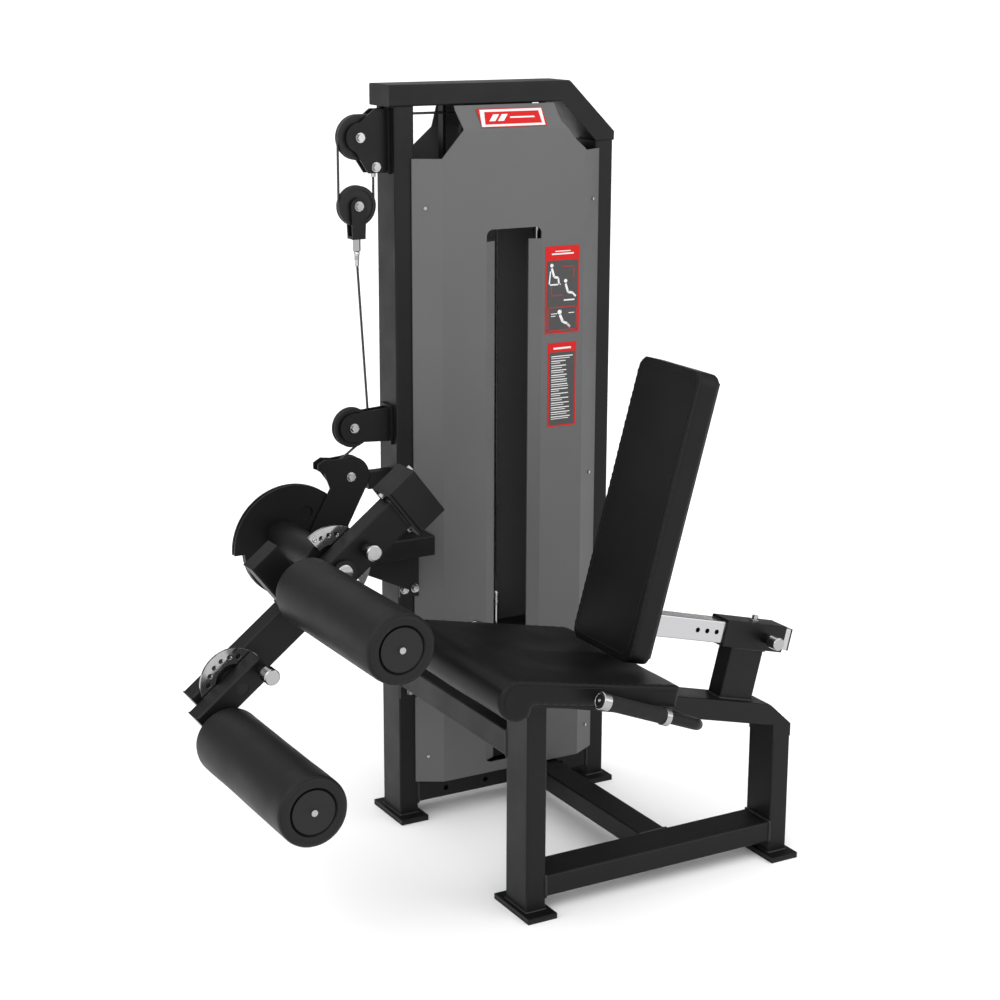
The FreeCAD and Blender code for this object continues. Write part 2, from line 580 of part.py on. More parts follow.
# ankle adjuster
ankle = at_arm(ANKLE_AT, 0)
SECTOR_Y1 = ARM_Y0
SECTOR_Y0 = ARM_Y0 - 6.0
ankle_holes = [ARM_DEG + 20 * i for i in range(0, 8)]
sec2 = sector(ankle[0], ankle[1], 36, 66.7, ARM_DEG - 22, ARM_DEG + 192, SECTOR_Y0, SECTOR_Y1, PIN_R2, ankle_holes,
              PIN_HOLE_R)
save("ankle_sector", sec2)
ankle_boss = cyl_y(ankle[0], ankle[1], 26, SECTOR_Y0, ARM_Y0)
save("ankle_sector", fused(ankle_boss, cyl_y(ankle[0], ankle[1], 12, -309.0, SECTOR_Y0)))
BAR_Y0 = -310.0
BAR_Y1 = SECTOR_Y0 - 0.5
BAR_HALF = 23.0
BAR_A0 = -97.0
BAR_A1 = 60.0
foot_bar = soften_along(prism_xz([at_arm(a, p, ankle) for a, p in ((BAR_A0, -BAR_HALF), (BAR_A1, -BAR_HALF),
                                                                (BAR_A1, BAR_HALF), (BAR_A0, BAR_HALF))],
                                 BAR_Y0, BAR_Y1), way, 4)
foot_bar = foot_bar.cut(cyl_y(ankle[0], ankle[1], 12 + RUN_FIT, -400, -200))
pin2 = at_arm(PIN_R2, 0, ankle)
foot_bar = foot_bar.cut(cyl_y(pin2[0], pin2[1], PULL_R + 0.02, -400, -200))
save("ankle_bar", foot_bar)
lug = fused(cyl_y(LOWER_ROLLER[0], LOWER_ROLLER[1], 28, -300, -284),
            prism_xz([at_arm(BAR_A0, -BAR_HALF, ankle), at_arm(-45, -BAR_HALF, ankle),
                      (LOWER_ROLLER[0] + 26, LOWER_ROLLER[1] - 8), (LOWER_ROLLER[0] - 24, LOWER_ROLLER[1] - 12)],
                     -300, -284))
lug = lug.cut(foot_bar).cut(cyl_y(LOWER_ROLLER[0], LOWER_ROLLER[1], ROLLER_SHAFT_R + 0.02, -320, -200))
save("ankle_bar", lug)
save("ankle_bar", prism_xz([at_arm(a, p, ankle) for a, p in ((BAR_A1, -BAR_HALF), (BAR_A1 + 3, -BAR_HALF),
                                                            (BAR_A1 + 3, BAR_HALF), (BAR_A1, BAR_HALF))],
                            BAR_Y0, BAR_Y1),
     prism_xz([at_arm(a, p, ankle) for a, p in ((BAR_A0 - 3, -BAR_HALF), (BAR_A0, -BAR_HALF),
                                                (BAR_A0, BAR_HALF), (BAR_A0 - 3, BAR_HALF))], BAR_Y0, BAR_Y1))
save("ankle_bar", collar(pin2[0], pin2[1], BAR_Y0, 24))
save("ankle_pin", pull_pin(pin2[0], pin2[1], BAR_Y0, 43.4, 24))
roller_parts(LOWER_ROLLER, ROLLER_Y1, -284, "lower")

# ---------------------------------------------------------------- seat frame
front_leg = prism_xz([(0, FOOT_Z), (TUBE_W, FOOT_Z), (TUBE_W, rail_top(TUBE_W) - RAIL_H),
                      (0, rail_top(0) - RAIL_H)], SEAT_Y0, SEAT_Y1)
save("seat_legs", soften_along(front_leg, long_z, 4))
rail = prism_xz([(0, rail_top(0)), (571, rail_top(571)), (REAR_LEG_X1, 289), (REAR_LEG_X1, 262), (REAR_LEG_X, 262),
                 (REAR_LEG_X, rail_top(REAR_LEG_X) - RAIL_H), (0, rail_top(0) - RAIL_H)], SEAT_Y0, SEAT_Y1)
rail_way = V(1, 0, -RAIL_SLOPE).normalize()
save("seat_rail", soften_along(rail, rail_way, 4))
save("seat_legs", soften_along(box(REAR_LEG_X, REAR_LEG_X1, SEAT_Y0, SEAT_Y1, FOOT_Z, 262), long_z, 4))
save("floor_rails", soften_along(box(TUBE_W, REAR_LEG_X, SEAT_Y0, SEAT_Y1, 36, 80), long_x, 4))
save("floor_rails", soften_along(box(314, 377, SEAT_Y1, -6, 36, 79), long_y, 4))
save("floor_rails", soften_along(box(0, TUBE_W, SEAT_Y1, -6, 308, 362), long_y, 4))
save("frame_flanges", box(300, 391, -6, 0, 35, 79), box(0, TUBE_W, -6, 0, 280, 384))
save("frame_bolts", hex_bolt_y(306.5, 57, -6, -1, 5.5), hex_bolt_y(384.5, 57, -6, -1, 5.5),
     hex_bolt_y(21.7, 294, -6, -1, 6.5), hex_bolt_y(21.7, 372, -6, -1, 6.5))

# seat pad and board
SEAT_TOP_0 = 538.7
SEAT_SLOPE = 0.206
SEAT_FRONT = -105.0
SEAT_REAR = 235.0
SEAT_HALF = 205.0
CUSHION_T = 48.0
BOARD = 8.0
ROLL_R = 41.0
sx, sz = SEAT_SLOPE / math.hypot(1, SEAT_SLOPE), 1 / math.hypot(1, SEAT_SLOPE)


def seat_top(x):
    return SEAT_TOP_0 - SEAT_SLOPE * x


def below(x, d):
    """point d under the seat surface, square to it"""
    return (x - sx * d, seat_top(x) - sz * d)


UNDER = CUSHION_T + BOARD + 0.02
board = prism_xz([below(SEAT_FRONT + 30, CUSHION_T + 0.02), below(SEAT_REAR - 12, CUSHION_T + 0.02),
                  below(SEAT_REAR - 12, UNDER), below(SEAT_FRONT + 30, UNDER)],
                 SEAT_MID - SEAT_HALF + 14, SEAT_MID + SEAT_HALF - 14)
board = board.cut(prism_xz([(0, 0), (0, rail_top(0)), (REAR_LEG_X, rail_top(REAR_LEG_X)), (REAR_LEG_X, 0)],
                           SEAT_Y0 - 1, SEAT_Y1 + 1))
save("seat_board", board)
WEDGE_X0 = 70.0
WEDGE_X1 = 205.0
wedge = prism_xz([(WEDGE_X0, rail_top(WEDGE_X0)), (WEDGE_X1, rail_top(WEDGE_X1)),
                  (WEDGE_X1, seat_top(WEDGE_X1) - UNDER / sz - 0.02),
                  (WEDGE_X0, seat_top(WEDGE_X0) - UNDER / sz - 0.02)], SEAT_Y0 + 10, SEAT_Y1 - 10)
save("seat_board", wedge)
cushion = prism_xz([below(SEAT_FRONT, 0), below(SEAT_REAR, 0), below(SEAT_REAR, CUSHION_T),
                    below(SEAT_FRONT, CUSHION_T)], SEAT_MID - SEAT_HALF, SEAT_MID + SEAT_HALF)
roll_c = below(SEAT_FRONT, ROLL_R)
roll = cyl_y(roll_c[0], roll_c[1], ROLL_R, SEAT_MID - SEAT_HALF, SEAT_MID + SEAT_HALF)
roll = roll.cut(prism_xz([below(SEAT_FRONT + 29, CUSHION_T), below(SEAT_FRONT + 90, CUSHION_T),
                          below(SEAT_FRONT + 90, CUSHION_T + 60), below(SEAT_FRONT + 29, CUSHION_T + 60)],
                         SEAT_MID - SEAT_HALF - 5, SEAT_MID + SEAT_HALF + 5))
cushion = fused(cushion, roll)
save("seat_cushion", cushion)

# backrest post, sleeve and slide tube
nx, nz = RAIL_SLOPE / math.hypot(1, RAIL_SLOPE), 1 / math.hypot(1, RAIL_SLOPE)
base_p = (POST_BASE_X, rail_top(POST_BASE_X))


def at_post(e1, e2):
    return (base_p[0] + e1 * nz + e2 * nx, base_p[1] - e1 * nx + e2 * nz)


def post_block(a0, a1, b0, b1, y0, y1):
    return prism_xz([at_post(a0, b0), at_post(a1, b0), at_post(a1, b1), at_post(a0, b1)], y0, y1)


SLIDE_C = 133.7
SLIDE_HALF = 22.5
SLEEVE_IN = 22.55
SLEEVE_OUT = 27.4
SLEEVE_A0 = -69.0
SLEEVE_A1 = 81.5
post = soften_along(post_block(-41, 41, 0, SLIDE_C - SLEEVE_OUT, SEAT_MID - 21.75, SEAT_MID + 21.75),
                    V(nx, 0, nz), 4)
save("backrest_post", post)
HOLE_PITCH = 23.6
PIN_E1 = 29.6
sleeve = post_block(SLEEVE_A0, SLEEVE_A1, SLIDE_C - SLEEVE_OUT, SLIDE_C + SLEEVE_OUT, SEAT_MID - SLEEVE_OUT,
                    SEAT_MID + SLEEVE_OUT)
sleeve = soften_along(sleeve, rail_way, 3)
sleeve = sleeve.cut(post_block(SLEEVE_A0 - 8, SLEEVE_A1 + 8, SLIDE_C - SLEEVE_IN, SLIDE_C + SLEEVE_IN, SEAT_MID - SLEEVE_IN,
                               SEAT_MID + SLEEVE_IN))
pin3 = at_post(PIN_E1, SLIDE_C)
sleeve = sleeve.cut(cyl_y(pin3[0], pin3[1], PULL_R + 0.02, -600, SEAT_MID))
save("backrest_sleeve", sleeve)
jam = at_post(16.5, SLIDE_C + SLEEVE_OUT)
jam_way = V(nx, 0, nz)
jam_base = V(jam[0], SEAT_MID, jam[1])
save("frame_bolts", fused(Part.makeCylinder(9, 2, jam_base, jam_way), Part.makeCylinder(6.5, 11, jam_base, jam_way)))
b1x, b1z = BACK_B1
b_len = math.hypot(b1x, b1z)
b1x, b1z = b1x / b_len, b1z / b_len


def at_back(up, rear):
    return (BACK_X + up * b1x + rear * b1z, BACK_Z + up * b1z - rear * b1x)


def back_block(u0, u1, r0, r1, y0, y1):
    return prism_xz([at_back(u0, r0), at_back(u1, r0), at_back(u1, r1), at_back(u0, r1)], y0, y1)


PAD_T = 50.0
slide_front = -277.0
slide_rear = 97.5
slide = post_block(slide_front - 30, slide_rear, SLIDE_C - SLIDE_HALF, SLIDE_C + SLIDE_HALF, SEAT_MID - SLIDE_HALF,
                   SEAT_MID + SLIDE_HALF)
slide = soften_along(slide, rail_way, 3)
slide = slide.cut(back_block(-300, 900, -200, PAD_T + 14, -800, -200))
for i in range(0, 8):
    h = at_post(PIN_E1 - HOLE_PITCH * i, SLIDE_C)
    slide = slide.cut(cyl_y(h[0], h[1], PULL_R + 0.03, -600, SEAT_MID - 4))
save("backrest_slide_tube", slide)
cap = post_block(slide_rear, slide_rear + 4, SLIDE_C - SLIDE_HALF, SLIDE_C + SLIDE_HALF, SEAT_MID - SLIDE_HALF,
                 SEAT_MID + SLIDE_HALF)
save("backrest_slide_tube", cap)
save("backrest_board", back_block(20, 208, PAD_T + 8, PAD_T + 14, SEAT_MID - 45, SEAT_MID + 45))
save("backrest_board", back_block(14, BACK_LEN - 14, PAD_T, PAD_T + 8, SEAT_MID - BACK_HALF + 12,
                                  SEAT_MID + BACK_HALF - 12))
back_pad = back_block(0, BACK_LEN, 0, PAD_T - 0.02, SEAT_MID - BACK_HALF, SEAT_MID + BACK_HALF)
save("backrest_cushion", soften_along(back_pad, V(b1z, 0, -b1x), 22))
save("backrest_sleeve", collar(pin3[0], pin3[1], SEAT_MID - SLEEVE_OUT, 24))
save("backrest_pin", pull_pin(pin3[0], pin3[1], SEAT_MID - SLEEVE_OUT, 4.8, 24, 13.5))

# ---------------------------------------------------------------- handles
HANDLE_R = 11.0
GRIP_R = 15.5
GRIP_OUT = 237.0
tip = (40.0, 504.0)
bend = (263.0, 415.0)
grip_len = math.hypot(bend[0] - tip[0], bend[1] - tip[1])
gx, gz = (bend[0] - tip[0]) / grip_len, (bend[1] - tip[1]) / grip_len
BEND_R = 26.0
grips = []
collars = []
for side in (-1, 1):
    y_out = SEAT_MID + side * GRIP_OUT
    y_rail = SEAT_MID + side * 41.0
    p_tip = V(tip[0], y_out, tip[1])
    p_bend = V(bend[0], y_out, bend[1])
    p_end = V(bend[0], y_rail, bend[1] - 24)
    d1 = V(gx, 0, gz)
    d2 = (p_end - p_bend).normalize()
    a = p_bend - d1 * BEND_R
    b = p_bend + d2 * BEND_R
    mid = p_bend + (d2 - d1).normalize() * (BEND_R * 0.4142)
    wire = Part.Wire([Part.makeLine(p_tip, a), Part.Arc(a, mid, b).toShape(), Part.makeLine(b, p_end)])
    tube = wire.makePipeShell([Part.Wire(Part.makeCircle(HANDLE_R, p_tip, d1))], True, True)
    save("handle_frames", tube.cut(rail))
    grip_s = p_tip + d1 * 12
    grip = Part.makeCylinder(GRIP_R, 130, grip_s, d1).cut(Part.makeCylinder(HANDLE_R, 400, p_tip - d1 * 9, d1))
    grips.append(grip)
    end_cap = Part.makeCylinder(17, 12, p_tip - d1 * 0, d1).cut(Part.makeCylinder(HANDLE_R, 400, p_tip, d1))
    end_disc = Part.makeCylinder(17, 4, p_tip - d1 * 4, d1)
    collars.append(fused(end_cap, end_disc))
    ring = Part.makeCylinder(17, 12, p_tip + d1 * 142, d1).cut(Part.makeCylinder(HANDLE_R, 400, p_tip, d1))
    collars.append(ring)
save("handle_grips", *grips)
save("handle_frames", *collars)
write_all()
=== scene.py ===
import bpy
import bmesh
import json
import math
import numpy as np
from mathutils import Vector, Matrix, noise

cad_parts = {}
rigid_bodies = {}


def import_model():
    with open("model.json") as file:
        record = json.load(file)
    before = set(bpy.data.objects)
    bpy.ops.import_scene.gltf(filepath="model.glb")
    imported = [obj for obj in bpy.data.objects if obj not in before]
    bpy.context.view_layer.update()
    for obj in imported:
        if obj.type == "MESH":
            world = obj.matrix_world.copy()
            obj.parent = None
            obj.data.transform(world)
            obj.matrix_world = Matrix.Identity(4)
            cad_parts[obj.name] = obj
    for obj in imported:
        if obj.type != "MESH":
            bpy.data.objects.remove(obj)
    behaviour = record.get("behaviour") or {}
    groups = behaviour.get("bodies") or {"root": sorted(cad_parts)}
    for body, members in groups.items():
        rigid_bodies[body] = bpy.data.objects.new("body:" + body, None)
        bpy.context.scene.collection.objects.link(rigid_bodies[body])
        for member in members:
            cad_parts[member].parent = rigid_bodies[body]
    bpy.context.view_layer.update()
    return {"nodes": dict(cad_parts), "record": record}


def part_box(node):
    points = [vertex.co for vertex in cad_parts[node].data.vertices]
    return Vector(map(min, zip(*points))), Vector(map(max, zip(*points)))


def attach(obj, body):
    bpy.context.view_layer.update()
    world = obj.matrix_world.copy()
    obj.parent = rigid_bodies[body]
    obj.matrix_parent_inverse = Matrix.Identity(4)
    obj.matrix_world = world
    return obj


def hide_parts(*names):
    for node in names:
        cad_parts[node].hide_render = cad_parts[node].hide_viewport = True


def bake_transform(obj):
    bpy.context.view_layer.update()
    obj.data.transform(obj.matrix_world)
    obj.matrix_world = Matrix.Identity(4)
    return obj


for old in list(bpy.data.objects):
    bpy.data.objects.remove(old)
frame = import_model()
nodes = frame["nodes"]
body_of = {n: b for b, ns in frame["record"]["behaviour"]["bodies"].items() for n in ns}

# ------------------------------------------------------------------ lay-out
# The lay-out is in mm of a machine 1560 mm tall; K turns it into metres of the real one.
K = 1650.0 / 1560.0 / 1000.0
MID_X = 25.9
MID_Y = -319.0
SEAT_MID_Y = -499.0
RAIL_SLOPE = 0.2535
SEAT_SLOPE = 0.206
CABLE_Y = 41.0
POST_X = 497.0
POST_Z = 482.9 - RAIL_SLOPE * POST_X
AXIS_X, AXIS_Z = -248.0, 664.0
ARM_DEG = 38.0
ARM_Y0, ARM_Y1 = -260.0, -216.5
GRIP_X, GRIP_Z = 40.0, 504.0
GRIP_YS = (-736.0, -262.0)
STEM_TOP = 445.0
ROLLER_Y_OUT = -708.0
SIGN_Y = -33.8


def P(x, y, z):
    """a point of the lay-out in the row frame"""
    return Vector(((x - MID_X) * K, (y - MID_Y) * K, z * K))


# ------------------------------------------------------------------ materials
def new_mat(name, base, rough, metal=0.0, coat=0.0, spec=0.5):
    m = bpy.data.materials.new(name)
    m.use_nodes = True
    p = m.node_tree.nodes["Principled BSDF"]
    p.inputs["Base Color"].default_value = (*base, 1)
    p.inputs["Roughness"].default_value = rough
    p.inputs["Metallic"].default_value = metal
    p.inputs["Coat Weight"].default_value = coat
    p.inputs["Specular IOR Level"].default_value = spec
    return m, p


def add(m, kind, **props):
    n = m.node_tree.nodes.new(kind)
    for k, v in props.items():
        setattr(n, k, v)
    return n


def link(m, a, b):
    m.node_tree.links.new(a, b)


def coords(m, stretch=(1, 1, 1)):
    c = add(m, "ShaderNodeTexCoord")
    mp = add(m, "ShaderNodeMapping")
    mp.inputs["Scale"].default_value = stretch
    link(m, c.outputs["Object"], mp.inputs["Vector"])
    return mp.outputs["Vector"]


def grain(m, p, scale, strength, dist=0.0002, stretch=(1, 1, 1), detail=4.0, kind="noise", bevel=0.0):
    vec = coords(m, stretch)
    if kind == "voronoi":
        t = add(m, "ShaderNodeTexVoronoi", feature="DISTANCE_TO_EDGE")
        out = t.outputs["Distance"]
    else:
        t = add(m, "ShaderNodeTexNoise")
        t.inputs["Detail"].default_value = detail
        out = t.outputs["Fac"]
    t.inputs["Scale"].default_value = scale
    link(m, vec, t.inputs["Vector"])
    b = add(m, "ShaderNodeBump")
    b.inputs["Strength"].default_value = strength
    b.inputs["Distance"].default_value = dist
    link(m, out, b.inputs["Height"])
    if bevel:
        bv = add(m, "ShaderNodeBevel", samples=4)
        bv.inputs["Radius"].default_value = bevel
        link(m, bv.outputs["Normal"], b.inputs["Normal"])
    link(m, b.outputs["Normal"], p.inputs["Normal"])
    return vec


def vary(m, p, socket, scale, low, high, stretch=(1, 1, 1), detail=3.0):
    """a soft random change of a value over the surface"""
    t = add(m, "ShaderNodeTexNoise")
    t.inputs["Scale"].default_value = scale
    t.inputs["Detail"].default_value = detail
    link(m, coords(m, stretch), t.inputs["Vector"])
    r = add(m, "ShaderNodeMapRange")
    r.inputs["From Min"].default_value = 0.3
    r.inputs["From Max"].default_value = 0.7
    r.inputs["To Min"].default_value = low
    r.inputs["To Max"].default_value = high
    link(m, t.outputs["Fac"], r.inputs["Value"])
    link(m, r.outputs["Result"], p.inputs[socket])


def tint(m, p, scale, a, b):
    t = add(m, "ShaderNodeTexNoise")
    t.inputs["Scale"].default_value = scale
    t.inputs["Detail"].default_value = 4.0
    link(m, coords(m), t.inputs["Vector"])
    r = add(m, "ShaderNodeValToRGB")
    r.color_ramp.elements[0].position = 0.35
    r.color_ramp.elements[0].color = (*a, 1)
    r.color_ramp.elements[1].position = 0.68
    r.color_ramp.elements[1].color = (*b, 1)
    link(m, t.outputs["Fac"], r.inputs["Fac"])
    link(m, r.outputs["Color"], p.inputs["Base Color"])


paint, p = new_mat("black_powder_coat", (0.0045, 0.0045, 0.0048), 0.42, spec=0.17)
grain(paint, p, 900, 0.25, 0.00015, bevel=0.0012)
vary(paint, p, "Roughness", 14, 0.36, 0.48)
tint(paint, p, 5, (0.0036, 0.0036, 0.0039), (0.0052, 0.0052, 0.0055))

panel_mat, p = new_mat("gray_sheet_steel", (0.078, 0.078, 0.08), 0.45, spec=0.3)
grain(panel_mat, p, 1100, 0.18, 0.0001, bevel=0.0006)
vary(panel_mat, p, "Roughness", 9, 0.4, 0.5)
tint(panel_mat, p, 3, (0.073, 0.073, 0.075), (0.081, 0.081, 0.083))

iron, p = new_mat("coated_cast_iron", (0.005, 0.005, 0.0053), 0.5, spec=0.2)
grain(iron, p, 380, 0.5, 0.0003, bevel=0.0012)
vary(iron, p, "Roughness", 20, 0.42, 0.6)

chrome, p = new_mat("chrome", (0.33, 0.33, 0.335), 0.13, metal=1.0)
grain(chrome, p, 300, 0.04, 0.0001, bevel=0.0006)
vary(chrome, p, "Roughness", 60, 0.08, 0.2)

brushed, p = new_mat("brushed_chrome_tube", (0.42, 0.42, 0.43), 0.22, metal=1.0)
grain(brushed, p, 260, 0.12, 0.0001, stretch=(0.06, 1, 1), bevel=0.001)
vary(brushed, p, "Roughness", 120, 0.16, 0.3, stretch=(0.05, 1, 1))

zinc, p = new_mat("zinc_bolt", (0.42, 0.42, 0.43), 0.28, metal=1.0)
grain(zinc, p, 500, 0.15, 0.0001, bevel=0.0006)
vary(zinc, p, "Roughness", 80, 0.2, 0.36)

plastic, p = new_mat("black_nylon", (0.0055, 0.0055, 0.0058), 0.4, spec=0.22)
grain(plastic, p, 700, 0.2, 0.0001, bevel=0.0008)
vary(plastic, p, "Roughness", 25, 0.34, 0.46)

rubber, p = new_mat("black_rubber", (0.007, 0.007, 0.007), 0.7, spec=0.22)
grain(rubber, p, 450, 0.5, 0.0003)
vary(rubber, p, "Roughness", 20, 0.6, 0.8)

vinyl, p = new_mat("upholstery_vinyl", (0.0038, 0.0038, 0.0041), 0.42, spec=0.14)
grain(vinyl, p, 420, 0.22, 0.0003, kind="voronoi")
vary(vinyl, p, "Roughness", 7, 0.36, 0.48)
tint(vinyl, p, 6, (0.003, 0.003, 0.0033), (0.0045, 0.0045, 0.0048))

sleeve_foam, p = new_mat("roller_skin", (0.0055, 0.0055, 0.0058), 0.5, spec=0.17)
grain(sleeve_foam, p, 650, 0.25, 0.0002, kind="voronoi")
vary(sleeve_foam, p, "Roughness", 9, 0.44, 0.56)

thread_mat, p = new_mat("stitching", (0.0045, 0.0045, 0.0048), 0.6, spec=0.16)
grain(thread_mat, p, 900, 0.4, 0.0002)

cable_mat, p = new_mat("coated_cable", (0.006, 0.006, 0.006), 0.28)
grain(cable_mat, p, 300, 0.3, 0.0002, stretch=(1, 1, 0.2))
vary(cable_mat, p, "Roughness", 50, 0.2, 0.34)

board_mat, p = new_mat("black_board", (0.006, 0.0056, 0.0056), 0.6, spec=0.2)
grain(board_mat, p, 200, 0.3, 0.0002, stretch=(0.2, 1, 1))
vary(board_mat, p, "Roughness", 12, 0.52, 0.68)

red_mat, p = new_mat("red_print", (0.42, 0.009, 0.008), 0.5, spec=0.12)
grain(red_mat, p, 900, 0.06, 0.0001)
vary(red_mat, p, "Roughness", 30, 0.3, 0.42)
dark_mat, p = new_mat("dark_print", (0.022, 0.02, 0.02), 0.38)
grain(dark_mat, p, 900, 0.06, 0.0001)
vary(dark_mat, p, "Roughness", 30, 0.33, 0.45)
pale_mat, p = new_mat("pale_print", (0.55, 0.55, 0.56), 0.4)
grain(pale_mat, p, 900, 0.06, 0.0001)
silver_mat, p = new_mat("silver_plate", (0.55, 0.55, 0.56), 0.32, metal=0.7)
grain(silver_mat, p, 700, 0.1, 0.0001, stretch=(0.1, 1, 1))
weld_mat, p = new_mat("weld_bead", (0.009, 0.009, 0.0095), 0.45, spec=0.3)
grain(weld_mat, p, 260, 0.8, 0.0006)

by_slot = {
    "black_paint": paint, "gray_panel": panel_mat, "chrome": chrome, "rubber": rubber, "label": red_mat,
    "black_iron": iron, "cable_sheath": cable_mat, "black_plastic": plastic, "upholstery": vinyl,
}
slot_of = {s["node"]: s["material_slot"] for s in frame["record"]["subparts"]}
for name, obj in nodes.items():
    obj.data.materials.clear()
    obj.data.materials.append(by_slot[slot_of[name]])
nodes["backrest_slide_tube"].data.materials[0] = brushed
nodes["backrest_board"].data.materials[0] = board_mat
nodes["seat_board"].data.materials[0] = board_mat


def islands(obj):
    """lists of polygon indices of each loose solid, with its box"""
    me = obj.data
    co = np.array([v.co for v in me.vertices])
    key = {}
    ids = np.empty(len(co), int)
    for i, c in enumerate(np.round(co, 5)):
        ids[i] = key.setdefault(tuple(c), len(key))
    parent = list(range(len(key)))

    def find(a):
        while parent[a] != a:
            parent[a] = parent[parent[a]]
            a = parent[a]
        return a
    for poly in me.polygons:
        vs = [ids[v] for v in poly.vertices]
        for v in vs[1:]:
            parent[find(v)] = find(vs[0])
    groups = {}
    for poly in me.polygons:
        groups.setdefault(find(ids[poly.vertices[0]]), []).append(poly.index)
    out = []
    for polys in groups.values():
        vs = sorted({v for q in polys for v in me.polygons[q].vertices})
        out.append((polys, co[vs].min(0), co[vs].max(0)))
    return out


def repaint(node, mat, test):
    """loose solids of a node that pass test(lo, hi) take another material"""
    obj = nodes[node]
    obj.data.materials.append(mat)
    slot = len(obj.data.materials) - 1
    hits = 0
    for polys, lo, hi in islands(obj):
        if test(lo, hi):
            hits += 1
            for q in polys:
                obj.data.polygons[q].material_index = slot
    if not hits:
        print("repaint: nothing in", node, mat.name)


repaint("counterweight", chrome, lambda lo, hi: max(hi - lo) < 0.022)
repaint("floating_yoke", chrome, lambda lo, hi: (hi - lo)[2] < 0.026 or (hi - lo)[0] < 0.019)
repaint("ankle_sector", plastic, lambda lo, hi: max(hi - lo) < 0.06)
repaint("backrest_slide_tube", plastic, lambda lo, hi: max(hi - lo) < 0.05)
repaint("handle_frames", chrome, lambda lo, hi: max(hi - lo) < 0.06)
repaint("upper_roller_hub", chrome, lambda lo, hi: max(hi - lo) < 0.014)
repaint("lower_roller_hub", chrome, lambda lo, hi: max(hi - lo) < 0.014)
repaint("cable_fixed_run", zinc, lambda lo, hi: max(hi - lo) < 0.016)


def repaint_faces(node, mat, test):
    """faces of a node whose centre passes test take another material"""
    me = nodes[node].data
    me.materials.append(mat)
    slot = len(me.materials) - 1
    for poly in me.polygons:
        if test(poly.center):
            poly.material_index = slot


def rail_point(e1, e2, y):
    """a point on the seat rail: e1 along it from the backrest post, e2 square to it"""
    h = math.hypot(1, RAIL_SLOPE)
    return P(POST_X + (e1 + RAIL_SLOPE * e2) / h, y, POST_Z + (e2 - RAIL_SLOPE * e1) / h)


# faces of the slide tube at its adjustment holes get a near-black colour: painted shade standing in for the
# dark inside of each hole
hole_shade_mat, p = new_mat("bare_hole", (0.004, 0.004, 0.004), 0.8, spec=0.1)
slide_holes = [rail_point(29.6 - 23.6 * i, 133.7, 0) for i in range(8)]
repaint_faces("backrest_slide_tube", hole_shade_mat, lambda c: c.y > P(0, -521.3, 0).y and any(
    math.hypot(c.x - h.x, c.z - h.z) < 5.2 * K for h in slide_holes))
grip_tip = P(GRIP_X, 0, GRIP_Z)
grip_way = Vector((223, 0, -89)).normalized()


def on_cap(c):
    """true for a face of the cap on either grip"""
    d = Vector((c.x, 0, c.z)) - Vector((grip_tip.x, 0, grip_tip.z))
    t = d.dot(grip_way)
    side = min(abs(c.y - P(0, y, 0).y) for y in GRIP_YS)
    return -0.006 < t < 0.0125 and math.hypot((d - grip_way * t).length, side) > 12 * K


repaint_faces("handle_frames", chrome, on_cap)


# ------------------------------------------------------------------ helpers for pieces
def make(name, verts, faces, mat, body=None, smooth=True):
    """a mesh object of one material that moves with body"""
    me = bpy.data.meshes.new(name)
    me.from_pydata([tuple(v) for v in verts], [], faces)
    me.validate()
    me.polygons.foreach_set("use_smooth", [smooth] * len(me.polygons))
    me.materials.append(mat)
    o = bpy.data.objects.new(name, me)
    bpy.context.scene.collection.objects.link(o)
    if body:
        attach(o, body)
    return o


def frames(points):
    """a steady pair of cross directions along a path"""
    pts = [Vector(p) for p in points]
    up = Vector((0, 1, 0))
    out = []
    for i, p in enumerate(pts):
        d = (pts[min(i + 1, len(pts) - 1)] - pts[max(i - 1, 0)]).normalized()
        if abs(d.dot(up)) > 0.95:
            up = Vector((0, 0, 1))
        side = d.cross(up).normalized()
        up = side.cross(d).normalized()
        out.append((p, side, up))
    return out


def tube_mesh(points, radius, sides=16, closed=False, profile=None):
    """verts and faces of a tube; profile(i, angle) may scale its radius"""
    fr = frames(points)
    verts, faces = [], []
    for i, (p, s, u) in enumerate(fr):
        for k in range(sides):
            a = 2 * math.pi * k / sides
            r = radius * (profile(i, a) if profile else 1)
            verts.append(p + (s * math.cos(a) + u * math.sin(a)) * r)
    n = len(fr)
    for i in range(n if closed else n - 1):
        j = (i + 1) % n
        for k in range(sides):
            m = (k + 1) % sides
            faces.append((i * sides + k, i * sides + m, j * sides + m, j * sides + k))
    if not closed:
        faces.append(tuple(reversed(range(sides))))
        faces.append(tuple(range((n - 1) * sides, n * sides)))
    return verts, faces


def tube(name, points, radius, mat, body, sides=16, closed=False, profile=None):
    v, f = tube_mesh(points, radius, sides, closed, profile)
    return make(name, v, f, mat, body)


